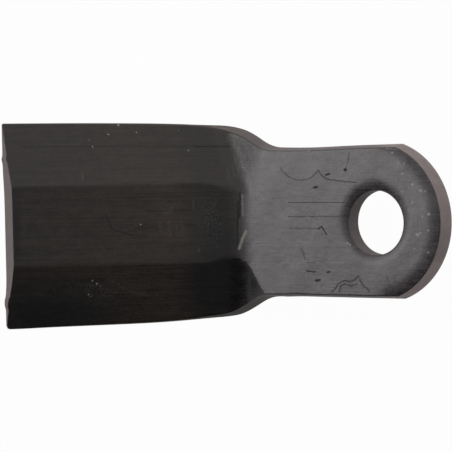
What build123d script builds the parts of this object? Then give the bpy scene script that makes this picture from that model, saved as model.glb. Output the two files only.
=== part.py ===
from build123d import *

import os
from math import cos, radians, sin, tan

# Hammer mill blade: a swing hammer forged in one piece from steel.
# A flat shank with a pivot bore at its rounded tip turns, at one crisp bend,
# into a wide paddle that does the striking.  The paddle keeps a flat land
# along its middle.  On each side of the land a wing is forged down to a thin
# long edge, and its floor curves up again in a run-out at the neck, so that
# it leaves the flat of the shank along one arm of a V.
#
# Sizes are in millimetres and degrees.  The shape is worked out in a bend
# frame: X runs from the paddle toward the tip along the paddle's back, Y is
# across the blade, Z is up, and the origin is where the two backs would meet
# if the bend were sharp.  At the end it is moved so that the origin is the
# middle of the pivot bore, with the paddle's back flat and facing down.

# Pivot bore
bore_diameter = 25.4
bore_rim_round = 0.6

# Shank
shank_thickness = 8.0
shank_width = 59.9
shank_draft = 9.4
bend_angle = 37.0
bend_to_bore = 69.5

# Rounded tip of the shank, struck about a centre a little behind the bore,
# with its front face falling away toward the edge
tip_radius = 31.7
tip_setback = 2.0
tip_draft = 5.0
tip_fall_reach = 5.0
tip_fall = 0.8

# Paddle
paddle_length = 97.6
paddle_end_width = 84.4
paddle_flare = 1.6
paddle_edge_draft = 23.0
paddle_end_bevel = 27.0
corner_round = 1.5

# Land along the middle of the paddle, and its gentle rise to the neck
land_thickness = 8.0
land_width = 32.2
land_rise_angle = 9.0
land_rise_radius = 48.0
land_rise_to_bend = 9.7

# Wings, and their run-out at the neck
wing_slope = 15.5
runout_radius = 16.0
runout_steepness = 50.0
runout_to_bend = 8.3

# Neck, seen from above, measured along the back from the bend
shoulder_to_bend = 0.6
neck_to_bend = 17.0
shoulder_radius = 40.0
neck_radius = 19.0

# Rounds at the bend
back_bend_radius = 18.0
crease_radius = 20.0

# What follows from the sizes above
half_bend = bend_angle / 2
paddle_end_half = paddle_end_width / 2
shank_half = shank_width / 2
tip_centre = bend_to_bore - tip_setback
tip_reach = tip_centre + tip_radius
overrun = shank_width
level_with_bore = Vector(cos(radians(bend_angle)), 0, sin(radians(bend_angle)))
out_of_shank = Vector(-sin(radians(bend_angle)), 0, cos(radians(bend_angle)))
shank_plane = Plane(origin=(0, 0, 0), x_dir=level_with_bore, z_dir=out_of_shank)


def shank_point(along, above):
    """A point of the side view, from its distance along the shank's back and its height above it."""
    place = level_with_bore * along + out_of_shank * above
    return place.X, place.Z


def front_crease_along():
    """How far along the shank the rising land meets the shank's front face."""
    rise = tan(radians(land_rise_angle))
    start_x, start_z = shank_point(0, shank_thickness)
    step_x, step_z = level_with_bore.X, level_with_bore.Z
    land_z = land_thickness + rise * (start_x + land_rise_to_bend)
    return (land_z - start_z) / (step_z - rise * step_x)


def side_plate():
    """The bent plate as a full width strip: its side view drawn once and carried across Y."""
    end_inset = land_thickness * tan(radians(paddle_end_bevel))
    corners = [
        (-paddle_length, 0),
        (0, 0),
        shank_point(tip_reach + overrun, 0),
        shank_point(tip_reach + overrun, shank_thickness),
        shank_point(front_crease_along(), shank_thickness),
        (-land_rise_to_bend, land_thickness),
        (end_inset - paddle_length, land_thickness),
    ]
    rounds = [0, back_bend_radius, 0, 0, crease_radius, land_rise_radius, 0]
    side_view = make_face(FilletPolyline(corners, radius=rounds, close=True))
    return extrude(Plane.XZ * side_view, amount=paddle_end_width, both=True)


def plan_outline():
    """The outline from above, laid flat along the back: paddle, sloping shoulders, neck and shank."""
    shoulder_half = paddle_end_half - (paddle_length - shoulder_to_bend) * tan(radians(paddle_flare))
    one_side = [
        (-paddle_length, -paddle_end_half),
        (-shoulder_to_bend, -shoulder_half),
        (neck_to_bend, -shank_half),
        (tip_reach + overrun, -shank_half),
    ]
    other_side = [(along, -across) for along, across in reversed(one_side)]
    rounds = [corner_round, shoulder_radius, neck_radius, 0, 0, neck_radius, shoulder_radius, corner_round]
    return make_face(FilletPolyline(one_side + other_side, radius=rounds, close=True))


def tip_limit():
    """A drafted disc about the tip's centre, with a straight run back over the bend."""
    disc = Pos(tip_centre, 0) * Circle(tip_radius)
    run_back = Pos(tip_centre - overrun, 0) * Rectangle(2 * overrun, 2 * overrun)
    return extrude(shank_plane * (disc + run_back), amount=2 * shank_thickness, taper=tip_draft)


def blank():
    """The bent plate cut to its outline: one drafted wall round the paddle, one round the shank."""
    fold = Plane(
        origin=(0, 0, 0),
        x_dir=(0, 1, 0),
        z_dir=(cos(radians(half_bend)), 0, sin(radians(half_bend))),
    )
    plate = side_plate()
    paddle_wall = extrude(plan_outline(), amount=2 * land_thickness, taper=paddle_edge_draft)
    shank_wall = extrude(shank_plane * plan_outline(), amount=2 * shank_thickness, taper=shank_draft)
    paddle = split(plate, bisect_by=fold, keep=Keep.BOTTOM) & paddle_wall
    shank = split(plate, bisect_by=fold, keep=Keep.TOP) & shank_wall & tip_limit()
    return paddle + shank


def wing_cutter():
    """The metal forged away over the wing at +Y, down to its floor and its run-out.

    The floor is a plane through the edge of the land, tilted down outward.  Toward the neck it turns
    up by a round, and where it breaks out of the shank it leaves a crease that slants outward.
    """
    along = Vector(1, 0, 0)
    off_wing = Vector(0, sin(radians(wing_slope)), cos(radians(wing_slope)))
    floor_start = Vector(-runout_to_bend, land_width / 2, land_thickness)
    section_plane = Plane(origin=floor_start, x_dir=along, z_dir=along.cross(off_wing))
    foot = runout_radius * tan(radians(runout_steepness / 2))
    height = 2 * overrun
    section = [
        (-2 * paddle_length, 0),
        (foot, 0),
        (foot + height / tan(radians(runout_steepness)), height),
        (-2 * paddle_length, height),
    ]
    profile = make_face(FilletPolyline(section, radius=[0, runout_radius, 0, 0], close=True))
    return extrude(section_plane * profile, amount=2 * paddle_length, both=True)


def pierce_bore(blade):
    """The pivot bore, square through the shank, with a round at both rims."""
    bore = Cylinder(bore_diameter / 2, 4 * shank_thickness)
    blade = blade - shank_plane * Pos(bend_to_bore, 0, shank_thickness / 2) * bore
    rims = [rim for rim in blade.edges().filter_by(GeomType.CIRCLE) if is_bore_rim(rim)]
    return fillet(rims, bore_rim_round)


def is_bore_rim(rim):
    """Whether a circular edge is one of the two rims of the pivot bore."""
    centre_along = rim.arc_center.dot(level_with_bore)
    return abs(rim.radius - bore_diameter / 2) < 0.01 and abs(centre_along - bend_to_bore) < 0.01


def ease_tip(blade):
    """The shallow fall of the front face over its last few millimetres, along the tip's arc."""
    out = Axis((0, 0, 0), out_of_shank)
    front = blade.faces().filter_by(out).sort_by(SortBy.AREA)[-2:].sort_by(out)[-1]
    tip_arc = front.edges().sort_by(Axis((0, 0, 0), level_with_bore))[-1]
    return chamfer(tip_arc, tip_fall, tip_fall_reach, reference=front)


def hammer_blade():
    """The finished blade in the bend frame."""
    cutter = wing_cutter()
    blade = blank() - cutter - mirror(cutter, about=Plane.XZ)
    return ease_tip(pierce_bore(blade))


bore_middle = level_with_bore * bend_to_bore + out_of_shank * (shank_thickness / 2)
finished = Pos(-bore_middle) * hammer_blade()

os.makedirs("parts", exist_ok=True)
export_step(finished, "parts/hammer_blade.step")
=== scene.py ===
import math

import bpy
import numpy as np
from mathutils import Matrix, Vector


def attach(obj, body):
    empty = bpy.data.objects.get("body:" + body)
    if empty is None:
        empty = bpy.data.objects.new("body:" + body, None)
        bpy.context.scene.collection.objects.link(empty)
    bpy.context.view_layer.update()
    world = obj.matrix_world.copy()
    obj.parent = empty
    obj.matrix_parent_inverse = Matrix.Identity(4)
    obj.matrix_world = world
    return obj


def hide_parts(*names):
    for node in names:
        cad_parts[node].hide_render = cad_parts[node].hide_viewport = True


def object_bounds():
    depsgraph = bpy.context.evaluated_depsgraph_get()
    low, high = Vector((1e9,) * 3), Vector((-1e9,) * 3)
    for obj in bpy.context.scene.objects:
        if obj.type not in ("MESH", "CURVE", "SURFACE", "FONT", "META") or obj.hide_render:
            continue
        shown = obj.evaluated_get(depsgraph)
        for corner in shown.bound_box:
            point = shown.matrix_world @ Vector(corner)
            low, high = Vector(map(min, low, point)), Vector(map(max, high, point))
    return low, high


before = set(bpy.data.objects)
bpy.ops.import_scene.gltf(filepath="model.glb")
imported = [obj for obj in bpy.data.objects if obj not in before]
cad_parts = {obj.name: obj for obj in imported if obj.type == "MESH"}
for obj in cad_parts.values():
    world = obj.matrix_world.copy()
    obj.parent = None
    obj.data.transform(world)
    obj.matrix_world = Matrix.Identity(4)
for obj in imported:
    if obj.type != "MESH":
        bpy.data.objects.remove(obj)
cad_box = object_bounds()

# Sizes of the blade, in millimetres.  Like the solid it stands for, the skin
# is worked out in a bend frame: x runs from the paddle toward the tip along
# the paddle's back, y across, z up, from where the two backs would meet.
METRES = 0.001
BEND = math.radians(37.0)
THICKNESS = 8.0
BEND_TO_BORE = 69.5
BORE_RADIUS = 12.4
BORE_SIDEWAYS = -0.48
BORE_RIM = 0.7

PADDLE_LENGTH = 96.8
PADDLE_END_HALF = 42.05
PADDLE_FLARE = math.tan(math.radians(1.15))
SHOULDER_FLARE, SHOULDER_EASES_AT, SHOULDER_EASES_REACH = 0.042, -27.0, 12.0
SHOULDER_AT, SHOULDER_REACH = 0.4, 9.3
NECK_AT, NECK_REACH = 16.6, 4.7
SHANK_HALF = 29.9
SHANK_SIDEWAYS = -0.16
END_SLOPE = math.tan(math.radians(27.0))
END_FADE = 16.0
END_STRAY_FADE = 5.0
PLAN_CORNERS = {1.0: 0.5, -1.0: 1.5}

LAND_HALF = 16.1
LAND_RISE = math.tan(math.radians(9.0))
LAND_RISE_AT, LAND_RISE_REACH = -9.7, 7.9
CREASE_AT, CREASE_REACH = -0.8, 5.5
WING_SLOPE = math.tan(math.radians(15.5))
WING_LIP_AT, WING_LIP_REACH = 32.0, 0.8
WING_LIP_SLOPE = math.tan(math.radians(0.8))

RUNOUT_PLUS = {"radius": 20.0, "steepest": math.radians(40.0), "start": -8.7, "skew": -0.29}
RUNOUT_MINUS = {"radius": 16.0, "steepest": math.radians(50.0), "start": -8.3, "skew": -0.03}

PADDLE_DRAFT = math.tan(math.radians(23.0))
SHANK_DRAFT = math.tan(math.radians(9.4))
BACK_BEND_RADIUS = 18.0

TIP_RADIUS = 31.7
TIP_CENTRE = BEND_TO_BORE - 2.0
TIP_DRAFT = math.tan(math.radians(6.5))
TIP_FALL, TIP_FALL_REACH = 0.75, 6.0
TIP_FALL_GROWS = 12.0
BORE_FALL, BORE_FALL_REACH, BORE_FALL_WIDER = 0.56, 4.2, 1.4

FRONT_EDGE_ROUND = 0.45
BACK_EDGE_ROUND = 0.6
WING_SOFTNESS = 0.1

# How each side's back edge strays from its even line: bells of a height, a
# middle and a reach, and the whole shank's step sideways.
EDGE_BELLS = {
    1.0: [(0.22, -62.0, 30.0), (0.64, 6.0, 11.0), (-0.3, 37.0, 14.0)],
    -1.0: [(0.15, -92.0, 9.0), (-0.52, -9.0, 23.0), (0.3, -0.5, 4.0), (-0.35, 10.5, 6.0), (0.42, 21.5, 6.0)],
}
STEP_AT, STEP_REACH = 24.0, 4.0

# How the front end strays from straight: its middle stands in, both corners
# stand out, and a burr and a small knob stand out furthest.
END_MIDDLE, END_CORNERS = 0.16, -0.46
END_PLUS_AT, END_PLUS_REACH = 18.0, 3.0
END_MINUS_AT, END_MINUS_REACH = -26.0, 1.5
BURR, BURR_AT, BURR_REACH = -0.42, 27.3, 1.3
KNOB, KNOB_AT, KNOB_REACH = -0.5, -31.2, 2.2

# Height of the forging's long hollows, and of the shorter ones on the shank.
HOLLOWS, SHANK_HOLLOWS = 0.05, 0.035
HOLLOWS_AT, HOLLOWS_REACH = 2.0, 1.5

# Where the wall's draft changes from the paddle's to the shank's, and the
# largest share of a thin wall that one of its rounds may take.
DRAFT_AT, DRAFT_REACH = -20.0, 30.0
ROUND_SHARE = 0.35
EDGE_PASSES = 4

# Where the paddle's stations hand over to the rings round the bore, as a
# distance along the shank from the bend, and where the stations get closer.
HANDOVER = 33.0
CLOSER_FROM = -24.0
CORNER_STATIONS, PADDLE_STATIONS, NECK_STATIONS = 7, 84, 132

# Columns across the front, the columns that hold to a crease, and how the
# two creases part at the neck and the columns even out past it.
ACROSS = 111
CREASE_COLUMNS = [0, 27, 39, 71, 83, 110]
PART_AT, PART_REACH = 3.0, 2.0
PART_PLUS, PART_MINUS = 1.9, 2.3
CREASE_BAND, CREASE_CLEAR = 1.5, 2.5
EVEN_FROM, EVEN_AT = 8.0, 20.0

# Steps round an edge, down a wall, and round the end of the paddle.
EDGE_STEPS = 5
WALL_STEPS = 5
EDGE_COLUMNS = 2 * EDGE_STEPS + WALL_STEPS - 3
END_BEHIND = 3
END_ROUND = 0.35

# Steps along the shank's outline and along each ray from the bore, how far
# the rays are evened out, and how they crowd toward the bore.
SIDE_STEPS, TIP_STEPS = 76, 158
FACE_STEPS = 58
BACK_STEPS = 16
RIM_STEPS = 5
BORE_STEPS = 9
RAYS_EVENED = 0.25
FACE_EVEN, FACE_CROWDED = 0.35, 1.6

# Points are one where they agree to a ten-thousandth of a millimetre.
MERGE_GRID = 1e4

BORE_X = BEND_TO_BORE * math.cos(BEND) - THICKNESS / 2 * math.sin(BEND)
BORE_Z = BEND_TO_BORE * math.sin(BEND) + THICKNESS / 2 * math.cos(BEND)

# Marks on the front, as paths of places along and across the blade in the
# bend frame, in millimetres, each with its half width and its strength.
DARK_LINES = [
    ([(-89.0, 32.5), (-18.5, 31.0)], 0.3, 0.5),
    ([(-18.5, 31.0), (-3.9, 30.7)], 0.26, 0.9),
    ([(-54.6, 4.2), (-52.9, -1.4), (-50.7, -2.4), (-44.2, -4.5)], 0.34, 0.8),
    ([(18.6, 7.7), (39.8, 7.5)], 0.18, 0.5),
    ([(18.5, 2.2), (39.7, 2.0)], 0.18, 0.45),
    ([(18.4, -2.6), (30.0, -2.6)], 0.18, 0.35),
    ([(25.2, -16.0), (28.1, -16.1)], 0.2, 0.4),
    ([(54.6, -21.0), (55.6, -23.4), (55.0, -26.4)], 0.18, 0.4),
    ([(57.3, -20.8), (57.9, -24.0)], 0.16, 0.35),
    ([(22.9, -10.5), (23.9, -12.2), (24.3, -14.4)], 0.3, 0.35),
]
# Dents, sunk by the bump and drawn dark as painted shade in their hollows. The first two are painted shade
# along the land's crease at the V.
DENTS_AND_PAINTED_SHADE = [
    ([(-1.2, 8.0), (-1.6, 0.0), (-1.9, -10.4)], 0.4, 1.0),
    ([(-0.4, 11.6), (-0.7, 2.0)], 0.34, 1.0),
    ([(15.8, 21.6), (17.1, 19.4), (18.8, 18.0), (21.0, 16.7),
      (23.4, 16.3), (25.7, 16.6), (27.6, 17.4), (30.3, 20.1)], 0.2, 0.4),
    ([(30.3, 20.1), (31.2, 18.4), (32.5, 17.3), (34.2, 16.5),
      (36.2, 16.1), (40.0, 15.6), (44.4, 15.1)], 0.2, 0.5),
    ([(42.0, 26.8), (41.5, 23.8), (40.4, 20.4)], 0.16, 0.4),
    ([(40.4, 20.3), (40.3, 20.0)], 0.5, 1.0),
    ([(28.5, 13.4), (29.8, 13.7)], 0.3, 1.0),
    ([(33.0, 18.3), (34.4, 18.7)], 0.3, 0.9),
    ([(29.9, -2.9), (31.0, -1.8), (32.9, -5.0)], 0.22, 0.9),
    ([(25.0, -19.4), (28.4, -19.7)], 0.22, 0.9),
    ([(28.6, -23.1), (29.8, -22.9)], 0.5, 0.8),
    ([(33.0, -19.8), (33.7, -19.6)], 0.4, 0.8),
    ([(34.3, -27.6), (36.2, -25.6), (36.8, -24.3), (39.2, -22.9),
      (41.2, -23.3), (43.4, -22.3), (44.6, -21.2)], 0.3, 0.45),
    ([(44.9, -22.2), (46.0, -24.6), (47.3, -25.6), (48.4, -27.3)], 0.3, 0.4),
    ([(37.2, -27.2), (38.0, -24.9), (39.4, -24.3), (41.6, -25.0), (43.8, -24.2)], 0.3, 0.45),
]
# Light marks: scuffs and forging strokes. The two beside the crease at the V are painted highlights on its
# lit side.
LIGHT_MARKS_AND_HIGHLIGHTS = [
    ([(-31.9, 4.5), (-30.6, 3.9), (-29.3, 4.3), (-28.4, 5.4), (-27.8, 6.9)], 0.34, 0.13),
    ([(-64.0, 21.4), (-63.9, 18.1)], 0.3, 0.16),
    ([(-19.3, 9.1), (-19.4, 5.5)], 0.26, 0.16),
    ([(-17.7, -11.7), (-17.3, -10.3)], 0.26, 0.2),
    ([(-33.2, 2.4), (-32.8, -2.4)], 0.6, 0.05),
    ([(-29.4, 0.6), (-29.0, -4.8)], 0.7, 0.06),
    ([(-26.2, -1.0), (-25.7, -5.4)], 0.6, 0.06),
    ([(-24.3, 3.0), (-24.0, -6.8)], 0.5, 0.05),
    ([(-54.0, -22.0), (-47.0, -27.0), (-38.0, -29.5)], 0.4, 0.05),
    ([(-63.5, -26.0), (-61.0, -29.0)], 0.4, 0.06),
    ([(0.5, 10.9), (0.4, 2.6)], 0.26, 0.6),
    ([(1.5, -3.6), (0.2, -6.6), (-1.2, -10.6)], 0.55, 0.8),
    ([(37.9, -27.6), (42.9, -27.5)], 0.35, 0.2),
    ([(-2.4, 26.6), (-1.0, 20.0)], 0.2, 0.16),
    ([(-0.2, 29.4), (0.8, 22.0)], 0.2, 0.18),
    ([(1.6, 30.2), (2.6, 23.0)], 0.2, 0.16),
    ([(3.6, 29.6), (4.4, 25.0)], 0.2, 0.12),
    ([(-3.6, 23.6), (-2.6, 18.4)], 0.2, 0.14),
    ([(-5.2, 21.6), (-4.6, 17.6)], 0.2, 0.1),
    ([(55.4, 28.0), (57.2, 27.7)], 0.26, 0.7),
    ([(58.0, 27.6), (59.2, 27.4)], 0.22, 0.6),
    ([(9.3, 27.6), (4.3, 19.0)], 0.24, 0.14),
]
# Where the paint has chipped, each with the chip's radius.
CHIPS = [
    (-49.3, 40.4, 0.45), (-53.4, 36.6, 0.28), (-42.0, 37.2, 0.24), (-61.5, 34.3, 0.3), (-59.9, 31.8, 0.28),
    (-20.9, 29.4, 0.3), (-24.9, 37.6, 0.24), (-40.9, -0.1, 0.3), (-60.9, -22.5, 0.34), (-59.2, -23.9, 0.3),
    (-57.8, -25.0, 0.26), (-62.8, -28.2, 0.3), (-62.0, -28.9, 0.24), (57.6, 26.3, 0.3), (59.7, 22.4, 0.4),
    (61.8, 22.0, 0.3), (61.0, 18.2, 0.35), (62.9, 20.8, 0.24), (64.5, 14.0, 0.4), (67.3, 11.7, 0.5),
    (68.9, 11.4, 0.35), (60.9, 11.4, 0.35), (64.4, 7.2, 0.35), (69.9, 2.6, 0.55), (67.8, 1.9, 0.35),
    (69.8, -3.4, 0.35), (66.0, -4.9, 0.55), (66.9, -4.4, 0.35), (64.8, -10.2, 0.35), (69.7, -11.7, 0.35),
    (40.6, -8.4, 0.45), (41.4, -9.0, 0.3), (26.7, 28.0, 0.35),
]

# How far out a mark fades to nothing and how far in it is full, as shares of
# its half width, and the same for a chip's radius.
MARK_FADES, MARK_FULL = 1.5, 0.4
CHIP_FADES, CHIP_FULL = 1.4, 0.3
# Cells a millimetre of the noise that makes the marks' paths stray, and how far.
STRAY_CELLS, STRAY_REACH = 0.9, 0.7

PAINT_THIN = (0.003, 0.0026, 0.003, 1.0)
# The two dust colours also serve as painted light. The dust bells lay them on thickly where the blade should
# look lit and thinly where it should look shaded.
PADDLE_DUST_AND_SHADING = (0.046, 0.032, 0.0225, 1.0)
SHANK_DUST_AND_SHADING = (0.058, 0.049, 0.056, 1.0)
# Trimmed edge colour: partly the bare trimmed metal, partly a painted reflection that lightens the walls.
TRIMMED_EDGE_AND_REFLECTION = (0.34, 0.278, 0.264, 1.0)
# A dark brown band painted where the front rounds over into a wall: painted shade along the edge.
RIM_PAINTED_SHADE = (0.03, 0.016, 0.012, 1.0)
MARK_LIGHT_AND_HIGHLIGHT = (0.2, 0.185, 0.17, 1.0)
CHIP_LIGHT = (0.42, 0.4, 0.37, 1.0)
MARK_DARK = (0.002, 0.002, 0.002, 1.0)

# The paint's patterns, each a noise with its cells a millimetre along x, y
# and z, its detail and its roughness.
DRAWN_LINES = ((0.018, 1.6, 0.018), 3.0, 0.65)
MOTTLE = ((0.2, 0.34, 0.34), 4.0, 0.6)
GRAIN = ((1.2, 1.7, 1.7), 3.0, 0.7)
SPECKS = ((1.9, 1.5, 1.5), 1.0, 0.5)
BROAD = ((0.07, 0.09, 0.09), 1.0, 0.5)
STROKES = ((2.6, 0.22, 0.3), 2.0, 0.6)

# How strongly each pattern works: on the dust, on the colours over it, on the
# roughness, and on the relief in millimetres.
DUST_LINES, DUST_MOTTLE, DUST_GRAIN, DUST_STROKES = 3.2, 2.2, 2.6, 1.6
DUST_UNEVEN, BARE_UNEVEN = 0.7, 0.06
WORN_AND_REFLECTION_LEAST, WORN_AND_REFLECTION_MOTTLE, WORN_AND_REFLECTION_GRAIN = 0.4, 0.7, 0.5
LIGHT_LEAST, LIGHT_GRAIN = 0.6, 0.8
RIM_SHADE_STRENGTH, DARK_STRENGTH, GRIT_STRENGTH = 3.2, 0.85, 0.35
ROUGHNESS, SHANK_SMOOTHER = 0.29, 0.03
ROUGH_MOTTLE, ROUGH_GRAIN, ROUGH_LINES = 0.24, 0.2, 0.2
ROUGH_WALL, ROUGH_DARK, ROUGH_CHIP = 0.35, 0.5, 0.2
ROUGH_NECK, ROUGH_STROKES = 0.1, 0.5
RELIEF_LINES, RELIEF_MOTTLE, RELIEF_GRAIN, RELIEF_BROAD = 0.022, 0.09, 0.02, 0.12
RELIEF_DENT, RELIEF_LIGHT = 0.035, 0.02
SHANK_FROM, SHANK_TO = -2.0, 6.0
GRIT_FROM, GRIT_TO = 0.54, 0.66
CHIP_GRAIN_FROM, CHIP_GRAIN_TO = 0.36, 0.56

# The V between paddle and shank: where its point lies along the blade, from
# how far across its arms slant and by how much, and how softly it changes.
V_AT, V_ARMS_FROM, V_SLANT, V_SOFT = 3.4, 18.0, 0.45, 0.7

# Dust with painted light and shade, and grit, as bells: how much, where the middle
# is along and across, and the reach along and across, where infinity is the whole width.
ALL_ACROSS = math.inf
PADDLE_LEAST_DUST_AND_SHADING = 0.28
PADDLE_DUST_AND_SHADING_BELLS = [
    (0.13, (-42.0, 0.0), (24.0, ALL_ACROSS)),
    (0.22, (-28.0, 0.0), (8.0, 15.0)),
    (-0.1, (-17.0, 0.0), (6.0, ALL_ACROSS)),
    (-0.34, (-9.0, -9.0), (6.0, 10.0)),
    (-0.16, (-9.0, 6.0), (4.0, 7.0)),
    (-0.34, (-76.0, -35.0), (30.0, 11.0)),
    (-0.26, (-91.2, -1.0), (1.8, 15.0)),
    (0.08, (-87.6, 0.0), (1.2, 15.0)),
    (-0.44, (-8.0, -26.0), (13.0, 11.0)),
    (-0.04, (-2.0, 26.0), (4.0, 9.0)),
]
SHANK_LEAST_DUST_AND_SHADING = 0.62
SHANK_DUST_AND_SHADING_BELLS = [
    (0.3, (26.0, 25.0), (30.0, 8.0)),
    (0.1, (64.0, 0.0), (8.0, 40.0)),
    (0.12, (48.0, -17.0), (12.0, 4.0)),
]
GRIT_BELLS = [
    (0.75, (-12.4, 1.0), (4.6, 9.5)),
    (0.45, (1.5, 21.0), (5.0, 7.0)),
    (0.35, (-58.0, -26.0), (22.0, 7.0)),
    (0.8, (40.8, -8.6), (2.0, 2.0)),
]
# Grit along the tip: how much, the middle of its ring, the ring's radius and
# reach, and where it starts along the blade and grows across it.
TIP_GRIT, TIP_GRIT_AT, TIP_GRIT_RADIUS, TIP_GRIT_REACH = 0.9, 50.0, 18.0, 3.6
TIP_GRIT_FROM, TIP_GRIT_TO = 52.0, 60.0
TIP_GRIT_MINUS, TIP_GRIT_PLUS = -20.0, 8.0
NECK_STROKES_AT, NECK_STROKES_REACH = (1.0, 25.0), (7.0, 10.0)

# Where the skin turns from front to wall, by how squarely it faces forward,
# and the share of trimmed brown with painted reflection on the walls: at the
# least, at the tip, at the front end and at the tip's -y side.
FRONT_NONE, FRONT_FULL = 0.4, 0.62
WALL_NONE, WALL_FULL = 0.64, 0.5
BACK_NONE, BACK_FULL = -0.7, -0.5
PADDLE_SIDE, SHANK_SIDE = -20.0, 20.0
TRIM_AND_REFLECTION_LEAST, TRIM_AND_REFLECTION_TIP, TRIM_AND_REFLECTION_END, TRIM_AND_REFLECTION_MINUS_TIP = 0.3, 0.42, 0.15, 0.6
TIP_FROM, TIP_TO = 50.0, 60.0
TIP_INSIDE, TIP_RING_FROM, TIP_RING_TO = 0.45, 17.0, 20.0
END_TRIM_FROM, END_TRIM_TO = -90.0, -93.0
MINUS_TIP_FROM, MINUS_TIP_TO = -12.0, -22.0

# The camera stands almost straight above the blade, with a long lens.
CAMERA_PLACE = Vector((-59.45, 17.92, 756.4)) * METRES
CAMERA_PITCH = math.radians(1.4)
CAMERA_ROLL = math.radians(1.2)
FOCAL_PIXELS = 1963.0
PICTURE_PIXELS = 452.0
SENSOR = 36.0

# The floor: half its side in metres, how far it lies below the blade, its
# colour, and its brightness as the camera and a reflection see it.
FLOOR_HALF = 3.0
FLOOR_GAP = 0.02 * METRES
FLOOR_COLOUR = (0.9, 0.9, 0.9, 1.0)
FLOOR_GLOW = 0.97
FLOOR_MIRRORED = 0.4

# The sky's strength: at the middle, its tilt toward +y, the least of it, and
# patches with the direction they lie in, their reach and their strength.
SKY_MIDDLE, SKY_TILT = 0.50, 0.60
SKY_LEAST = 0.03
SKY_PATCHES = [
    ((-0.955, 0.07, 0.29), 0.26, 4.8),
    ((-0.93, 0.42, 0.0), 0.50, 0.5),
    ((-0.88, 0.26, 0.42), 0.20, -1.8),
    ((-0.54, 0.36, 0.76), 0.22, 0.35),
    ((-0.83, -0.46, 0.30), 0.36, -1.9),
    ((-0.93, -0.36, 0.0), 0.32, -2.2),
    ((-0.25, 0.0, 0.97), 0.22, -0.14),
]


def ramp(distance, reach):
    """Zero before the corner, rising by one for each unit after it, with a parabola over the corner."""
    inside = np.clip(distance + reach, 0.0, 2.0 * reach) ** 2 / (4.0 * reach)
    return np.where(distance > reach, distance, inside)


def eased(value, low, high):
    """Zero at one value and one at the other, eased at both ends."""
    share = np.clip((value - low) / (high - low), 0.0, 1.0)
    return share * share * (3.0 - 2.0 * share)


def lower(first, second, softness):
    """The smaller of two heights, rounded where they cross."""
    return 0.5 * (first + second - np.sqrt((first - second) ** 2 + softness**2))


def back_half_width(along, corner):
    """Half the blade's width at its back edge: four straight runs, eased together, and a round at the end."""
    flare = PADDLE_FLARE + SHOULDER_FLARE
    shoulder = PADDLE_END_HALF - PADDLE_FLARE * (PADDLE_LENGTH + SHOULDER_AT)
    shoulder = shoulder - SHOULDER_FLARE * (SHOULDER_AT - SHOULDER_EASES_AT)
    slope = (shoulder - SHANK_HALF) / (NECK_AT - SHOULDER_AT)
    width = PADDLE_END_HALF - PADDLE_FLARE * (along + PADDLE_LENGTH)
    width = width - SHOULDER_FLARE * ramp(along - SHOULDER_EASES_AT, SHOULDER_EASES_REACH)
    width = width - (slope - flare) * ramp(along - SHOULDER_AT, SHOULDER_REACH)
    width = width + slope * ramp(along - NECK_AT, NECK_REACH)
    from_end = np.clip(along + PADDLE_LENGTH, 0.0, corner)
    return width - corner + np.sqrt(corner**2 - (corner - from_end) ** 2)


def edge_wander(along, side):
    """How far the back edge strays outward from its even line: the side's bells added up, and the step."""
    bells = 0.0
    for height, middle, reach in EDGE_BELLS[side]:
        bells = bells + height * np.exp(-(((along - middle) / reach) ** 2))
    return bells + side * SHANK_SIDEWAYS / (1.0 + np.exp((STEP_AT - along) / STEP_REACH))


def runout_climb(x, y):
    """How far a wing's floor has turned up: an arc that starts on a slanting line and ends in a steep run."""
    climb = 0.0
    for on_side, floor in ((y > 0.0, RUNOUT_PLUS), (y <= 0.0, RUNOUT_MINUS)):
        start = floor["start"] + floor["skew"] * (np.abs(y) - LAND_HALF)
        reach = floor["radius"] * math.sin(floor["steepest"])
        run = np.clip(x - start, 0.0, None)
        arc = np.minimum(run, reach)
        rise = floor["radius"] - np.sqrt(floor["radius"] ** 2 - arc**2)
        rise = rise + (run - arc) * math.tan(floor["steepest"])
        climb = climb + np.where(on_side, rise, 0.0)
    return climb * math.hypot(1.0, WING_SLOPE)


def front_height(x, y):
    """The front of the blade: land and shank face, cut down by the two wings and their run-outs."""
    blank = THICKNESS + LAND_RISE * ramp(x - LAND_RISE_AT, LAND_RISE_REACH)
    blank = blank + (math.tan(BEND) - LAND_RISE) * ramp(x - CREASE_AT, CREASE_REACH)
    wing = THICKNESS - WING_SLOPE * (np.abs(y) - LAND_HALF)
    wing = wing - WING_LIP_SLOPE * ramp(np.abs(y) - WING_LIP_AT, WING_LIP_REACH)
    return lower(blank, wing + runout_climb(x, y), WING_SOFTNESS)


def back_point(along):
    """The back's side view, from the developed distance along it: flat, one round bend, flat."""
    tangent = BACK_BEND_RADIUS * math.tan(BEND / 2)
    bent = np.clip((along + tangent) / (2 * tangent), 0.0, 1.0) * BEND
    past = np.clip(along - tangent, 0.0, None)
    before = np.clip(along + tangent, None, 0.0)
    x = -tangent + before + BACK_BEND_RADIUS * np.sin(bent) + past * math.cos(BEND)
    z = BACK_BEND_RADIUS * (1.0 - np.cos(bent)) + past * math.sin(BEND)
    return x, z


def surface_unevenness(x, y):
    """The forging's small hollows and swellings on the front, in millimetres, by place in the plan.

    Long waves along times long waves across, and on the shank a shorter slanting wave besides.
    """
    shank = 1.0 / (1.0 + np.exp(-(x - HOLLOWS_AT) / HOLLOWS_REACH))
    waves = HOLLOWS * np.sin(0.19 * x + 0.6) * np.cos(0.13 * y - 0.4)
    return waves + SHANK_HOLLOWS * np.sin(0.41 * x - 0.23 * y) * shank


def quadratic(start, corner, end, steps):
    """Points of a parabola that leaves start and enters end along the two sides of a corner."""
    t = np.linspace(0.0, 1.0, steps)[None, :, None]
    start, corner, end = start[:, None], corner[:, None], end[:, None]
    return (1 - t) ** 2 * start + 2 * t * (1 - t) * corner + t**2 * end


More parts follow.
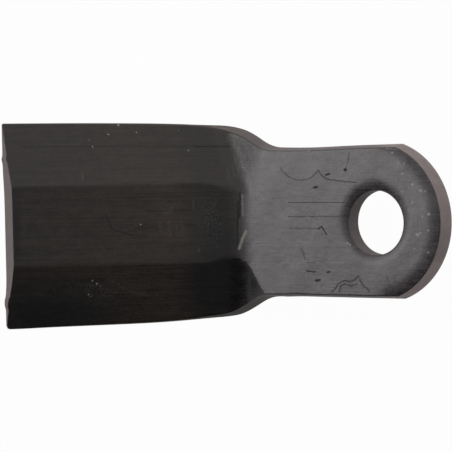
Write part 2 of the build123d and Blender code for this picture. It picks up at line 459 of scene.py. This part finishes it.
def straight(start, end, steps):
    """Points evenly along the lines from each start to each end."""
    t = np.linspace(0.0, 1.0, steps)[None, :, None]
    return start[:, None] * (1 - t) + end[:, None] * t


def unit(vectors):
    """The vectors scaled to length one."""
    return vectors / np.maximum(np.linalg.norm(vectors, axis=-1, keepdims=True), 1e-9)


def end_stray(y):
    """How far the front end strays from its straight line: a shallow bow, a burr and a small knob.

    The bow is a step out toward each corner, the burr a bell, and the knob a bell with a flat top.
    """
    plus_corner = END_CORNERS / (1.0 + np.exp(-(y - END_PLUS_AT) / END_PLUS_REACH))
    minus_corner = END_CORNERS / (1.0 + np.exp((y - END_MINUS_AT) / END_MINUS_REACH))
    burr = BURR * np.exp(-(((y - BURR_AT) / BURR_REACH) ** 2))
    knob = KNOB * np.exp(-(((y - KNOB_AT) / KNOB_REACH) ** 4))
    return END_MIDDLE + plus_corner + minus_corner + burr + knob


def stations():
    """Distances along the back at which the paddle and neck get a section, closer at the end and the neck."""
    widest = max(PLAN_CORNERS.values())
    corner = -PADDLE_LENGTH + widest * (1.0 - np.cos(np.linspace(0.0, math.pi / 2, CORNER_STATIONS)))
    paddle = np.linspace(-PADDLE_LENGTH + widest, CLOSER_FROM, PADDLE_STATIONS)[1:]
    neck = np.linspace(CLOSER_FROM, HANDOVER, NECK_STATIONS)[1:]
    return np.concatenate([corner, paddle, neck])


def front_columns(x, first, last):
    """Places across the front for every section: close together over both creases, which part at the neck.

    Past the V the columns even out again, to meet the rays of the shank.
    """
    parted = ramp(x - PART_AT, PART_REACH)
    plus_crease = np.minimum(LAND_HALF + PART_PLUS * parted, last - CREASE_CLEAR)
    minus_crease = np.maximum(-LAND_HALF - PART_MINUS * parted, first + CREASE_CLEAR)
    even_share = eased(x, EVEN_FROM, EVEN_AT)[:, None]
    minus_band = [minus_crease - CREASE_BAND, minus_crease + CREASE_BAND]
    plus_band = [plus_crease - CREASE_BAND, plus_crease + CREASE_BAND]
    marked = np.stack([first, *minus_band, *plus_band, last], -1)
    even = first[:, None] + (last - first)[:, None] * np.array(CREASE_COLUMNS) / (ACROSS - 1.0)
    marked = marked * (1.0 - even_share) + even * even_share
    column = np.arange(ACROSS)
    return np.stack([np.interp(column, CREASE_COLUMNS, places) for places in marked])


def paddle_sections():
    """Closed sections of the paddle and neck, one row per station and one column per point round it.

    A section runs over the front from one edge to the other, round that edge and down its wall, back
    under the blade, and up the first wall.  A front point lies straight above its back point on the
    paddle and square to the back on the shank, and both edges are rounded by parabolas.
    """
    along = stations()
    kink = -THICKNESS * math.sin(BEND) / (1.0 - math.cos(BEND))
    front_x = along - (1.0 - math.cos(BEND)) * np.clip(along - kink, 0.0, None)
    back_x, back_z = back_point(along)
    bend_share = np.clip((along - DRAFT_AT) / DRAFT_REACH, 0.0, 1.0)
    draft = PADDLE_DRAFT + (SHANK_DRAFT - PADDLE_DRAFT) * bend_share
    end_share = np.clip(1.0 - (along + PADDLE_LENGTH) / END_FADE, 0.0, 1.0) ** 2
    stray_share = np.clip(1.0 - (along + PADDLE_LENGTH) / END_STRAY_FADE, 0.0, 1.0) ** 2

    def front_points(y):
        x = np.broadcast_to(front_x[:, None], y.shape)
        z = front_height(x, y)
        x = x + end_share[:, None] * END_SLOPE * z + stray_share[:, None] * end_stray(y)
        z = front_height(x, y)
        return np.stack([x, y, z + surface_unevenness(x, y)], -1)

    sides = {}
    for side in (1.0, -1.0):
        half = back_half_width(along, PLAN_CORNERS[side]) + edge_wander(along, side)
        low = np.stack([back_x + stray_share * end_stray(side * half), side * half, back_z], -1)
        edge_half = half
        for _ in range(EDGE_PASSES):
            edge = front_points(side * edge_half[:, None])[:, 0]
            height = np.hypot(edge[:, 0] - back_x, edge[:, 2] - back_z)
            edge_half = half - height * draft
        top = front_points(side * edge_half[:, None])[:, 0]
        inner = front_points(side * (edge_half - FRONT_EDGE_ROUND)[:, None])[:, 0]
        wall = unit(low - top)
        most = ROUND_SHARE * np.linalg.norm(low - top, axis=-1)
        reach = np.minimum(FRONT_EDGE_ROUND, most)[:, None]
        low_reach = np.minimum(BACK_EDGE_ROUND, most)[:, None]
        below = top + wall * reach
        above = low - wall * low_reach
        under = low - np.array([0.0, side, 0.0]) * low_reach
        sides[side] = {
            "front": quadratic(inner, top, below, EDGE_STEPS),
            "wall": straight(below, above, WALL_STEPS),
            "back": quadratic(above, low, under, EDGE_STEPS),
            "under": under,
            "inner": inner,
        }
    plus, minus = sides[1.0], sides[-1.0]
    front = front_points(front_columns(front_x, minus["inner"][:, 1], plus["inner"][:, 1]))
    under = straight(plus["under"], minus["under"], ACROSS)
    under[..., 0] = back_x[:, None] + stray_share[:, None] * end_stray(under[..., 1])
    return np.concatenate(
        [
            front,
            plus["front"][:, 1:],
            plus["wall"][:, 1:-1],
            plus["back"],
            under[:, 1:-1],
            minus["back"][:, ::-1],
            minus["wall"][:, -2:0:-1],
            minus["front"][:, :0:-1],
        ],
        axis=1,
    )


def end_cap(sections):
    """Closes the front end: a round over its edge all the way round, then lines from front to back.

    The round is a parabola from the section a little behind the end, past the section at the end, to
    that section drawn inward.  Inward is square to the section's own run, in the slope of the end.
    """
    behind, sharp = sections[END_BEHIND], sections[0]
    run = unit(np.roll(sharp, -1, axis=0) - np.roll(sharp, 1, axis=0))
    face_out = unit(np.array([-1.0, 0.0, END_SLOPE]))
    inward = unit(np.cross(face_out, run))
    drawn_in = sharp + inward * END_ROUND
    rounded = quadratic(behind, sharp, drawn_in, EDGE_STEPS).transpose(1, 0, 2)
    side = EDGE_COLUMNS
    front = drawn_in[:ACROSS]
    plus = drawn_in[ACROSS : ACROSS + side]
    under = drawn_in[ACROSS + side : 2 * ACROSS + side - 2]
    minus = drawn_in[2 * ACROSS + side - 2 :][::-1]
    columns = straight(front[1:-1], under[::-1], side + 1)
    first = np.concatenate([front[:1], minus])[None]
    last = np.concatenate([front[-1:], plus])[None]
    return rounded, np.concatenate([first, columns, last])


def shank_to_bend(along, across, height):
    """A point given along, across and above the shank's back, in the bend frame."""
    return np.stack(
        [
            along * math.cos(BEND) - height * math.sin(BEND),
            across,
            along * math.sin(BEND) + height * math.cos(BEND),
        ],
        -1,
    )


def shank_outline(height):
    """Half the shank's width and its tip at one height above the back, as an outline run in even steps.

    The outline starts at the handover on the +y side, runs along the side wall to the tip's arc, round
    it, and back along the other wall.
    """
    half = SHANK_HALF - height * SHANK_DRAFT
    radius = TIP_RADIUS - height * TIP_DRAFT
    meet = math.acos(min(1.0, half / radius))
    corner_along = TIP_CENTRE + radius * math.sin(meet)
    along = np.linspace(HANDOVER, corner_along, SIDE_STEPS)
    angle = np.linspace(math.pi / 2 - meet, -math.pi / 2 + meet, TIP_STEPS)
    wide = back_half_width(along, PLAN_CORNERS[1.0]) - height * SHANK_DRAFT
    plus_side = np.stack([along, wide + edge_wander(along, 1.0)], -1)
    minus_side = np.stack([along, -wide - edge_wander(along, -1.0)], -1)
    tip = np.stack([TIP_CENTRE + radius * np.cos(angle), radius * np.sin(angle) + SHANK_SIDEWAYS], -1)
    return np.concatenate([plus_side, tip[1:-1], minus_side[::-1]])


def tip_fall(along, across):
    """How far the front face falls away over the last millimetres before the tip's edge."""
    distance = np.hypot(along - TIP_CENTRE, across)
    radius = TIP_RADIUS - THICKNESS * TIP_DRAFT
    share = np.clip((distance - radius + TIP_FALL_REACH) / TIP_FALL_REACH, 0.0, 1.0)
    return TIP_FALL * share**2 * eased(along, TIP_CENTRE, TIP_CENTRE + TIP_FALL_GROWS)


def bore_fall(along, across):
    """How far the front face dips toward the bore's rim, in a ring that is wider on its +y side."""
    across = across - BORE_SIDEWAYS
    distance = np.hypot(along - BEND_TO_BORE, across)
    toward_plus = 0.5 + 0.5 * across / np.maximum(distance, 1.0)
    reach = BORE_FALL_REACH + BORE_FALL_WIDER * toward_plus**2
    share = np.clip(1.0 - (distance - BORE_RADIUS) / reach, 0.0, 1.0)
    return BORE_FALL * reach / BORE_FALL_REACH * share**2


def shank_rings():
    """The shank round its bore: one row per ray, one column per step of the closed way round it.

    Every ray starts on the bore's front rim, runs out over the front face to the outline, round the
    edges and down the wall, back in under the shank to the bore's back rim, and up the bore's wall.
    Rays toward the paddle end at the handover, and have their wall points folded into one.
    """
    front_outline = shank_outline(THICKNESS)
    back_outline = shank_outline(0.0)
    tangent = unit(np.gradient(back_outline, axis=0))
    outward = np.stack([-tangent[:, 1], tangent[:, 0]], -1)
    outward[0], outward[-1] = (0.0, 1.0), (0.0, -1.0)
    inner_front = front_outline - outward * FRONT_EDGE_ROUND
    inner_back = back_outline - outward * BACK_EDGE_ROUND
    walls = len(back_outline)

    joint_front = straight(inner_front[-1:], inner_front[:1], ACROSS)[0, 1:-1]
    joint_back = straight(inner_back[-1:], inner_back[:1], ACROSS)[0, 1:-1]
    far_front = np.concatenate([inner_front, joint_front])
    far_back = np.concatenate([inner_back, joint_back])

    centre = np.array([BEND_TO_BORE, BORE_SIDEWAYS])
    toward = unit(far_front - centre)
    bearing = np.unwrap(np.arctan2(toward[:, 1], toward[:, 0]))
    even = bearing[0] - np.arange(len(bearing)) * 2 * math.pi / len(bearing)
    bearing = (1.0 - RAYS_EVENED) * bearing + RAYS_EVENED * even
    ray = np.stack([np.cos(bearing), np.sin(bearing)], -1)

    def front_face(plan):
        height = THICKNESS - tip_fall(plan[..., 0], plan[..., 1]) - bore_fall(plan[..., 0], plan[..., 1])
        place = shank_to_bend(plan[..., 0], plan[..., 1], height)
        lift = surface_unevenness(place[..., 0], place[..., 1])
        return place + lift[..., None] * np.array([0.0, 0.0, 1.0])

    rim = centre + ray * (BORE_RADIUS + BORE_RIM)
    wide = np.linspace(0.0, 1.0, FACE_STEPS)
    wide = (FACE_EVEN * wide + (1.0 - FACE_EVEN) * wide**FACE_CROWDED)[None, :, None]
    plan = rim[:, None] * (1 - wide) + far_front[:, None] * wide
    face = front_face(plan)

    outer_front = front_face(front_outline)
    outer_back = shank_to_bend(back_outline[:, 0], back_outline[:, 1], np.zeros(walls))
    inner_low = shank_to_bend(far_back[:, 0], far_back[:, 1], np.zeros(len(far_back)))
    down = unit(outer_back - outer_front)
    below = outer_front + down * FRONT_EDGE_ROUND
    above = outer_back - down * BACK_EDGE_ROUND
    edge = np.concatenate(
        [
            quadratic(face[:walls, -1], outer_front, below, EDGE_STEPS)[:, 1:],
            straight(below, above, WALL_STEPS)[:, 1:-1],
            quadratic(above, outer_back, inner_low[:walls], EDGE_STEPS),
        ],
        axis=1,
    )

    low_rim = shank_to_bend(rim[:, 0], rim[:, 1], np.zeros(len(ray)))
    under = straight(inner_low, low_rim, BACK_STEPS)

    hole = centre + ray * BORE_RADIUS
    hole_low = shank_to_bend(hole[:, 0], hole[:, 1], np.full(len(ray), BORE_RIM))
    corner_low = shank_to_bend(hole[:, 0], hole[:, 1], np.zeros(len(ray)))
    corner_high = front_face(hole)
    hole_high = corner_high + (corner_low - corner_high) * BORE_RIM / THICKNESS
    bore = np.concatenate(
        [
            quadratic(low_rim, corner_low, hole_low, RIM_STEPS)[:, 1:],
            straight(hole_low, hole_high, BORE_STEPS)[:, 1:-1],
            quadratic(hole_high, corner_high, face[:, 0], RIM_STEPS),
        ],
        axis=1,
    )
    return face, edge, under, bore


def sheet_of(points, wrap=False):
    """Vertices and four-sided faces of a grid of points, optionally closed from its last row to its first."""
    rows, columns = points.shape[:2]
    index = np.arange(rows * columns).reshape(rows, columns)
    if wrap:
        index = np.concatenate([index, index[:1]])
    corners = [index[:-1, :-1], index[1:, :-1], index[1:, 1:], index[:-1, 1:]]
    return points.reshape(-1, 3), np.stack(corners, -1).reshape(-1, 4)


def joined_mesh(name, sheets):
    """One closed mesh from several sheets, with points that fall together merged; build_blade turns its faces
    outward.
    """
    places, faces, count = [], [], 0
    for points, quads in sheets:
        places.append(points)
        faces.append(quads + count)
        count += len(points)
    places = np.concatenate(places)
    faces = np.concatenate(faces)
    rounded = np.round(places * MERGE_GRID).astype(np.int64)
    _, first, same = np.unique(rounded, axis=0, return_index=True, return_inverse=True)
    places = places[first]
    faces = same.reshape(-1)[faces]
    whole = (np.diff(np.sort(faces, axis=1), axis=1) > 0).all(axis=1)
    corner_lists = faces[whole].tolist()
    for corners in faces[~whole].tolist():
        kept = list(dict.fromkeys(corners))
        if len(kept) == 3:
            corner_lists.append(kept)
    shift = np.array([BORE_X, 0.0, BORE_Z])
    mesh = bpy.data.meshes.new(name)
    mesh.from_pydata(((places - shift) * METRES).tolist(), [], corner_lists)
    mesh.update()
    return mesh


def handover_section(face, edge, under):
    """The section at the handover, read off the shank's rays in the order that the paddle's sections use."""
    walls = len(edge)
    front = np.concatenate([face[walls - 1 :, -1], face[:1, -1]])
    low = np.concatenate([under[walls - 1 :, 0], under[:1, 0]])[::-1]
    return np.concatenate([front, edge[0], low[1:-1], edge[-1, ::-1]])


def build_blade():
    """The whole forging as one closed skin: end cap, paddle and neck, and the shank round its bore."""
    sections = paddle_sections()
    face, edge, under, bore = shank_rings()
    sections[-1] = handover_section(face, edge, under)
    round_over, end_face = end_cap(sections)
    sections = sections[END_BEHIND:]
    edge = np.concatenate([face[: len(edge), -1:], edge], axis=1)
    bore = np.concatenate([under[:, -1:], bore], axis=1)
    sheets = [
        sheet_of(end_face),
        sheet_of(np.concatenate([round_over, round_over[:, :1]], axis=1)),
        sheet_of(np.concatenate([sections, sections[:, :1]], axis=1)),
        sheet_of(face, wrap=True),
        sheet_of(edge),
        sheet_of(under, wrap=True),
        sheet_of(bore, wrap=True),
    ]
    mesh = joined_mesh("forged_blade", sheets)
    blade = bpy.data.objects.new("forged_blade", mesh)
    bpy.context.scene.collection.objects.link(blade)
    bpy.context.view_layer.objects.active = blade
    blade.select_set(True)
    bpy.ops.object.mode_set(mode="EDIT")
    bpy.ops.mesh.select_all(action="SELECT")
    bpy.ops.mesh.normals_make_consistent(inside=False)
    bpy.ops.object.mode_set(mode="OBJECT")
    mesh.shade_smooth()
    return blade


def bell_on(x, y, place, reach):
    """A bell of height one over the plan, falling to a third at its reach along and across."""
    return np.exp(-(((x - place[0]) / reach[0]) ** 2) - ((y - place[1]) / reach[1]) ** 2)


def bells_on(x, y, start, bells):
    """A list of bells over the plan, each by its amount, added to a starting value."""
    share = start
    for amount, place, reach in bells:
        share = share + amount * bell_on(x, y, place, reach)
    return share


def shank_share(x, y):
    """None on the paddle's side of the V, one on the shank's side."""
    past_crease = x - V_AT - V_SLANT * np.maximum(np.abs(y) - V_ARMS_FROM, 0.0)
    return 1.0 / (1.0 + np.exp(-past_crease / V_SOFT))


def neck_share(x, y):
    """How far the paint is dulled by the forging's short strokes, on the +y run-out up to the V."""
    return bell_on(x, y, NECK_STROKES_AT, NECK_STROKES_REACH) * (1.0 - shank_share(x, y))


def dust_and_shading_share(x, y):
    """How much dust and painted light lies on the black, from none to one: in broad patches, and less on the
    paddle, where the thinner patches leave painted shade.
    """
    on_shank = shank_share(x, y)
    paddle = bells_on(x, y, PADDLE_LEAST_DUST_AND_SHADING, PADDLE_DUST_AND_SHADING_BELLS)
    shank = bells_on(x, y, SHANK_LEAST_DUST_AND_SHADING, SHANK_DUST_AND_SHADING_BELLS)
    return np.clip(paddle, 0.0, 1.0) * (1.0 - on_shank) + shank * on_shank


def grit_share(x, y):
    """Where light grit shows through the paint: at the neck, along the tip and beside the bore."""
    from_ring = (np.hypot(x - TIP_GRIT_AT, y) - TIP_GRIT_RADIUS) / TIP_GRIT_REACH
    along_tip = TIP_GRIT * np.exp(-(from_ring**2))
    along_tip = along_tip * eased(x, TIP_GRIT_FROM, TIP_GRIT_TO) * eased(y, TIP_GRIT_MINUS, TIP_GRIT_PLUS)
    return np.clip(bells_on(x, y, along_tip, GRIT_BELLS), 0.0, 1.0)


def mark_surfaces(mesh):
    """Attributes for the paint: front, walls, and trimmed edges with painted reflection by the way the skin
    faces; dust with painted light and shade; grit.
    """
    count = len(mesh.vertices)
    places, normals = np.empty(count * 3), np.empty(count * 3)
    mesh.vertices.foreach_get("co", places)
    mesh.vertex_normals.foreach_get("vector", normals)
    places = places.reshape(-1, 3) / METRES + np.array([BORE_X, 0.0, BORE_Z])
    normals = normals.reshape(-1, 3)
    off_paddle = normals[:, 2]
    off_shank = normals[:, 2] * math.cos(BEND) - normals[:, 0] * math.sin(BEND)
    x, y = places[:, 0], places[:, 1]
    facing = np.maximum(off_paddle, off_shank)
    facing = np.where(x < PADDLE_SIDE, off_paddle, np.where(x > SHANK_SIDE, off_shank, facing))
    wall = eased(facing, WALL_NONE, WALL_FULL) * eased(facing, BACK_NONE, BACK_FULL)
    ring = eased(np.hypot(x - BORE_X, y), TIP_RING_FROM, TIP_RING_TO)
    tip = eased(x, TIP_FROM, TIP_TO) * (TIP_INSIDE + (1.0 - TIP_INSIDE) * ring)
    # The walls' light share is trimmed metal plus painted reflection. It is raised at the tip, the front end
    # and the tip's -y side to light those walls.
    share = TRIM_AND_REFLECTION_LEAST + TRIM_AND_REFLECTION_TIP * tip + TRIM_AND_REFLECTION_END * eased(x, END_TRIM_FROM, END_TRIM_TO)
    share = share + TRIM_AND_REFLECTION_MINUS_TIP * eased(y, MINUS_TIP_FROM, MINUS_TIP_TO) * tip
    values = {
        "front": eased(facing, FRONT_NONE, FRONT_FULL),
        "wall": wall,
        "trimmed_and_reflection": wall * share,
        "dust_and_shading": dust_and_shading_share(x, y),
        "grit": grit_share(x, y),
        "neck": neck_share(x, y),
    }
    for name, value in values.items():
        mesh.attributes.new(name, "FLOAT", "POINT").data.foreach_set("value", value.astype(np.float32))


class Wire:
    """A shader socket that adds Math nodes when it is used in an expression."""

    def __init__(self, bench, socket):
        self.bench, self.socket = bench, socket

    def math(self, operation, *others):
        """The result of one Math node on this value and others."""
        node = self.bench.node("ShaderNodeMath", {"operation": operation}, [self, *others])
        return Wire(self.bench, node.outputs[0])

    def __add__(self, other):
        return self.math("ADD", other)

    def __sub__(self, other):
        return self.math("SUBTRACT", other)

    def __rsub__(self, other):
        return (self * -1.0) + other

    def __mul__(self, other):
        return self.math("MULTIPLY", other)

    def __truediv__(self, other):
        return self.math("DIVIDE", other)

    __radd__ = __add__
    __rmul__ = __mul__


class NodeBench:
    """Lays out the nodes of one material or world."""

    def __init__(self, tree):
        self.tree = tree

    def node(self, kind, settings=None, inputs=()):
        """One node of a type, with its settings set first and then the values or links of its sockets."""
        node = self.tree.nodes.new(kind)
        for name, value in (settings or {}).items():
            setattr(node, name, value)
        pairs = inputs.items() if isinstance(inputs, dict) else enumerate(inputs)
        for key, value in pairs:
            if isinstance(value, Wire):
                self.tree.links.new(value.socket, node.inputs[key])
            elif isinstance(value, bpy.types.NodeSocket):
                self.tree.links.new(value, node.inputs[key])
            else:
                node.inputs[key].default_value = value
        return node

    def wire(self, kind, settings=None, inputs=(), output=0):
        """One output of a new node, ready to be used in an expression."""
        return Wire(self, self.node(kind, settings, inputs).outputs[output])

    def vector(self, operation, *inputs, output=0):
        """The result of one Vector Math node."""
        return self.wire("ShaderNodeVectorMath", {"operation": operation}, inputs, output)

    def smooth(self, value, low, high):
        """Zero at one value and one at the other, eased at both ends."""
        settings = {"interpolation_type": "SMOOTHSTEP"}
        return self.wire("ShaderNodeMapRange", settings, [value, low, high, 0.0, 1.0])

    def noise(self, place, stretch, detail, roughness):
        """Noise from zero to one, with as many cells a millimetre along each axis as stretch says."""
        stretched = self.vector("MULTIPLY", place, stretch)
        inputs = {"Vector": stretched, "Scale": 1.0, "Detail": detail, "Roughness": roughness}
        return self.wire("ShaderNodeTexNoise", inputs=inputs)

    def mix(self, share, first, second):
        """A colour between two."""
        return self.wire("ShaderNodeMix", {"data_type": "RGBA"}, {0: share, 6: first, 7: second}, 2)

    def attribute(self, name):
        """A value painted on the skin's points."""
        return self.wire("ShaderNodeAttribute", {"attribute_name": name}, output="Fac")


def distance_to(bench, plan, path):
    """The distance from the plan to the nearest point of a path of straight runs."""
    nearest = None
    for start, end in zip(path, path[1:]):
        run = np.subtract(end, start)
        length = float(np.hypot(*run))
        heading = (float(run[0]) / length, float(run[1]) / length, 0.0)
        offset = bench.vector("SUBTRACT", plan, (*start, 0.0))
        along = bench.vector("DOT_PRODUCT", offset, heading, output="Value")
        along = along.math("MAXIMUM", 0.0).math("MINIMUM", length)
        foot = bench.wire("ShaderNodeVectorMath", {"operation": "SCALE"}, {0: heading, "Scale": along})
        distance = bench.vector("DISTANCE", offset, foot, output="Value")
        nearest = distance if nearest is None else nearest.math("MINIMUM", distance)
    return nearest


def marks_mask(bench, plan, marks):
    """The strongest of a list of marks at each place, soft at their borders."""
    mask = None
    for path, half_width, strength in marks:
        distance = distance_to(bench, plan, path)
        mark = bench.smooth(distance, half_width * MARK_FADES, half_width * MARK_FULL) * strength
        mask = mark if mask is None else mask.math("MAXIMUM", mark)
    return mask


def chips_mask(bench, plan):
    """The chips, each a small spot."""
    mask = None
    for x, y, radius in CHIPS:
        distance = bench.vector("DISTANCE", plan, (x, y, 0.0), output="Value")
        spot = bench.smooth(distance, radius * CHIP_FADES, radius * CHIP_FULL)
        mask = spot if mask is None else mask.math("MAXIMUM", spot)
    return mask


def black_paint():
    """Thin black paint over a forging: drawn lines along it, mottle, dust with painted light and shade,
    trimmed edges with painted reflection, painted shade along the edge rounds, marks with painted shade and
    highlights, and chips.
    """
    paint = bpy.data.materials.new("worn_black_paint")
    paint.use_nodes = True
    bench = NodeBench(paint.node_tree)
    shader = paint.node_tree.nodes["Principled BSDF"]
    own = bench.node("ShaderNodeTexCoord").outputs["Object"]
    place = bench.vector("MULTIPLY_ADD", own, (1.0 / METRES,) * 3, (BORE_X, 0.0, BORE_Z))
    plan = bench.vector("MULTIPLY", place, (1.0, 1.0, 0.0))
    front = bench.attribute("front")
    wall = bench.attribute("wall")
    trimmed_and_reflection = bench.attribute("trimmed_and_reflection")
    dust_and_shading = bench.attribute("dust_and_shading")
    neck = bench.attribute("neck") * front

    inputs = {"Vector": plan, "Scale": STRAY_CELLS, "Detail": 2.0}
    stray = bench.wire("ShaderNodeTexNoise", inputs=inputs, output="Color")
    stray = bench.vector("SUBTRACT", stray, (0.5, 0.5, 0.5))
    strayed = bench.vector("MULTIPLY_ADD", stray, (STRAY_REACH, STRAY_REACH, 0.0), plan)
    strayed = bench.vector("MULTIPLY", strayed, (1.0, 1.0, 0.0))
    # Dents: bump relief, with painted shade as their dark colour.
    dents_and_shade = marks_mask(bench, strayed, DENTS_AND_PAINTED_SHADE) * front
    dark = (marks_mask(bench, strayed, DARK_LINES) * front).math("MAXIMUM", dents_and_shade)
    light_and_highlight = marks_mask(bench, strayed, LIGHT_MARKS_AND_HIGHLIGHTS) * front
    chips = chips_mask(bench, strayed) * front

    strokes = bench.noise(place, *STROKES) - 0.5
    lines = bench.noise(place, *DRAWN_LINES)
    mottle = bench.noise(place, *MOTTLE)
    grain = bench.noise(place, *GRAIN)
    specks = bench.noise(place, *SPECKS)
    broad = bench.noise(place, *BROAD)
    on_shank = bench.smooth(bench.wire("ShaderNodeSeparateXYZ", inputs=[place]), SHANK_FROM, SHANK_TO)
    grit = bench.smooth(specks, GRIT_FROM, GRIT_TO) * bench.attribute("grit") * front
    chips = chips * bench.smooth(grain, CHIP_GRAIN_FROM, CHIP_GRAIN_TO)

    uneven = (lines - 0.5) * DUST_LINES + (mottle - 0.5) * DUST_MOTTLE + (grain - 0.5) * DUST_GRAIN
    dust_and_shading_uneven = dust_and_shading + uneven * (dust_and_shading * DUST_UNEVEN + BARE_UNEVEN) + neck * strokes * DUST_STROKES
    dust_and_shading_uneven = dust_and_shading_uneven.math("MAXIMUM", 0.0)
    # Dust and painted light over the black. Where the share is thin, the black stands as painted shade.
    dust_and_shading_colour = bench.mix(on_shank, PADDLE_DUST_AND_SHADING, SHANK_DUST_AND_SHADING)
    colour = bench.mix(dust_and_shading_uneven, PAINT_THIN, dust_and_shading_colour)
    # Trimmed metal and painted reflection on the walls.
    worn_and_reflection = trimmed_and_reflection * (WORN_AND_REFLECTION_LEAST + mottle * WORN_AND_REFLECTION_MOTTLE + grain * WORN_AND_REFLECTION_GRAIN)
    colour = bench.mix(worn_and_reflection.math("MINIMUM", 1.0), colour, TRIMMED_EDGE_AND_REFLECTION)
    # Painted shade along the rounded edges between front and walls.
    colour = bench.mix(wall * (1.0 - wall) * RIM_SHADE_STRENGTH * trimmed_and_reflection, colour, RIM_PAINTED_SHADE)
    colour = bench.mix(dark * DARK_STRENGTH, colour, MARK_DARK)
    # Light scuffs, and painted highlights beside the crease.
    colour = bench.mix(light_and_highlight * (LIGHT_LEAST + grain * LIGHT_GRAIN), colour, MARK_LIGHT_AND_HIGHLIGHT)
    colour = bench.mix(grit * GRIT_STRENGTH, colour, MARK_LIGHT_AND_HIGHLIGHT)
    colour = bench.mix(chips, colour, CHIP_LIGHT)

    roughness = ROUGHNESS - on_shank * SHANK_SMOOTHER + (mottle - 0.5) * ROUGH_MOTTLE
    roughness = roughness + (grain - 0.5) * ROUGH_GRAIN + (lines - 0.5) * ROUGH_LINES
    roughness = roughness + wall * ROUGH_WALL + dark * ROUGH_DARK + chips * ROUGH_CHIP
    roughness = roughness + neck * (ROUGH_NECK + strokes * ROUGH_STROKES)

    relief = (lines - 0.5) * RELIEF_LINES + (mottle - 0.5) * RELIEF_MOTTLE
    relief = relief + (grain - 0.5) * RELIEF_GRAIN + (broad - 0.5) * RELIEF_BROAD
    relief = relief - dents_and_shade * RELIEF_DENT - light_and_highlight * RELIEF_LIGHT
    bump = bench.node("ShaderNodeBump", inputs={"Strength": 1.0, "Distance": METRES, "Height": relief})

    links = paint.node_tree.links
    links.new(colour.socket, shader.inputs["Base Color"])
    links.new(roughness.socket, shader.inputs["Roughness"])
    links.new(bump.outputs[0], shader.inputs["Normal"])
    return paint


def add_camera():
    """Looks almost straight down, leaned a little toward -y and rolled a little, as the photograph does."""
    camera = bpy.data.objects.new("camera", bpy.data.cameras.new("camera"))
    camera.data.sensor_width = SENSOR
    camera.data.lens = FOCAL_PIXELS / PICTURE_PIXELS * SENSOR
    turn = Matrix.Rotation(-CAMERA_PITCH, 4, "X") @ Matrix.Rotation(-CAMERA_ROLL, 4, "Z")
    camera.matrix_world = Matrix.Translation(CAMERA_PLACE) @ turn
    bpy.context.scene.collection.objects.link(camera)
    bpy.context.scene.camera = camera


def add_floor():
    """A large pale floor, a hair below the paddle's back."""
    half = FLOOR_HALF
    level = cad_box[0].z - FLOOR_GAP
    mesh = bpy.data.meshes.new("floor")
    corners = [(-half, -half, level), (half, -half, level), (half, half, level), (-half, half, level)]
    mesh.from_pydata(corners, [], [(0, 1, 2, 3)])
    floor = bpy.data.objects.new("floor", mesh)
    bpy.context.scene.collection.objects.link(floor)
    white = bpy.data.materials.new("floor_white")
    white.use_nodes = True
    bench = NodeBench(white.node_tree)
    white.node_tree.nodes.remove(white.node_tree.nodes["Principled BSDF"])
    paper = bench.node("ShaderNodeBsdfDiffuse", inputs={"Color": FLOOR_COLOUR})
    glow = bench.node("ShaderNodeEmission", inputs={"Color": (1.0, 1.0, 1.0, 1.0), "Strength": 1.0})
    ray = bench.node("ShaderNodeLightPath")
    mirrored = Wire(bench, ray.outputs["Is Glossy Ray"]) * FLOOR_MIRRORED
    seen = (Wire(bench, ray.outputs["Is Camera Ray"]) * FLOOR_GLOW).math("MAXIMUM", mirrored)
    mixed = bench.node("ShaderNodeMixShader", inputs=[seen, paper.outputs[0], glow.outputs[0]])
    output = white.node_tree.nodes["Material Output"]
    white.node_tree.links.new(mixed.outputs[0], output.inputs["Surface"])
    mesh.materials.append(white)


def bell(bench, direction, toward, reach):
    """One where the sky looks toward a direction, falling off smoothly with the distance from it."""
    apart = bench.vector("DISTANCE", direction, toward, output="Value") / reach
    return (apart * apart * -1.0).math("EXPONENT")


def build_sky():
    """A soft studio: brighter low on the left, dim overhead, and plain white where the camera sees it."""
    world = bpy.data.worlds.new("studio")
    bpy.context.scene.world = world
    world.use_nodes = True
    bench = NodeBench(world.node_tree)
    background = world.node_tree.nodes["Background"]
    direction = bench.node("ShaderNodeTexCoord").outputs["Generated"]
    across = bench.wire("ShaderNodeSeparateXYZ", inputs=[direction], output="Y")
    level = across * SKY_TILT + SKY_MIDDLE
    for toward, reach, strength in SKY_PATCHES:
        level = bell(bench, direction, toward, reach) * strength + level
    level = level.math("MAXIMUM", SKY_LEAST)
    seen = Wire(bench, bench.node("ShaderNodeLightPath").outputs["Is Camera Ray"])
    level = level * (1.0 - seen) + seen * FLOOR_GLOW
    world.node_tree.links.new(level.socket, background.inputs["Strength"])
    background.inputs["Color"].default_value = (1.0, 0.99, 0.99, 1.0)


blade = build_blade()
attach(blade, "root")
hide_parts("hammer_blade")
mark_surfaces(blade.data)
blade.data.materials.append(black_paint())

add_camera()
add_floor()
build_sky()

bpy.context.scene.view_settings.view_transform = "Standard"
